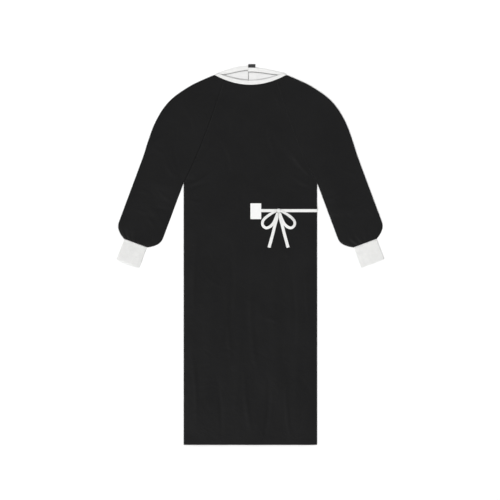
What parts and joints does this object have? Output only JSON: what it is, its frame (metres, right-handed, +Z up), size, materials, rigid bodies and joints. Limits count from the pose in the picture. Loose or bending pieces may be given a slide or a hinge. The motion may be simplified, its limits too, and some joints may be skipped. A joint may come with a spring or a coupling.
{
  "type": "surgical gown laid flat",
  "caption": "Surgical gown laid flat, face up, with raglan sleeves, rib cuffs, a bound neck, wrapped back flaps and a waist tie in a bow with a blank card.",
  "frame": {"origin": "under the middle of the gown's outline, on the surface that it lies on", "axes": "+X to the wearer's left, +Y from the hem to the neck, +Z up out of the front"},
  "size_m": [0.8832, 1.2556, 0.0135],
  "materials": {
    "black_cloth": "matt black nonwoven, white inside",
    "white_knit": "white rib knit",
    "white_tape": "white woven tape",
    "white_card": "blank white card",
    "black_hooks": "black hook tape"
  },
  "bodies": {
    "root": {"front": "black_cloth", "back_outer": "black_cloth", "back_inner": "black_cloth", "sleeve_left": "black_cloth", "sleeve_right": "black_cloth", "cuff_left": "white_knit", "cuff_right": "white_knit", "binding_front": "white_tape", "binding_back_outer": "white_tape", "binding_back_inner": "white_tape", "neck_tab": "black_hooks", "tie_long": "white_tape", "tie_short": "white_tape", "tie_card": "white_card", "bow_knot": "white_tape", "bow_loop_left": "white_tape", "bow_loop_right": "white_tape", "bow_tail_left": "white_tape", "bow_tail_right": "white_tape"}
  },
  "joints": []
}
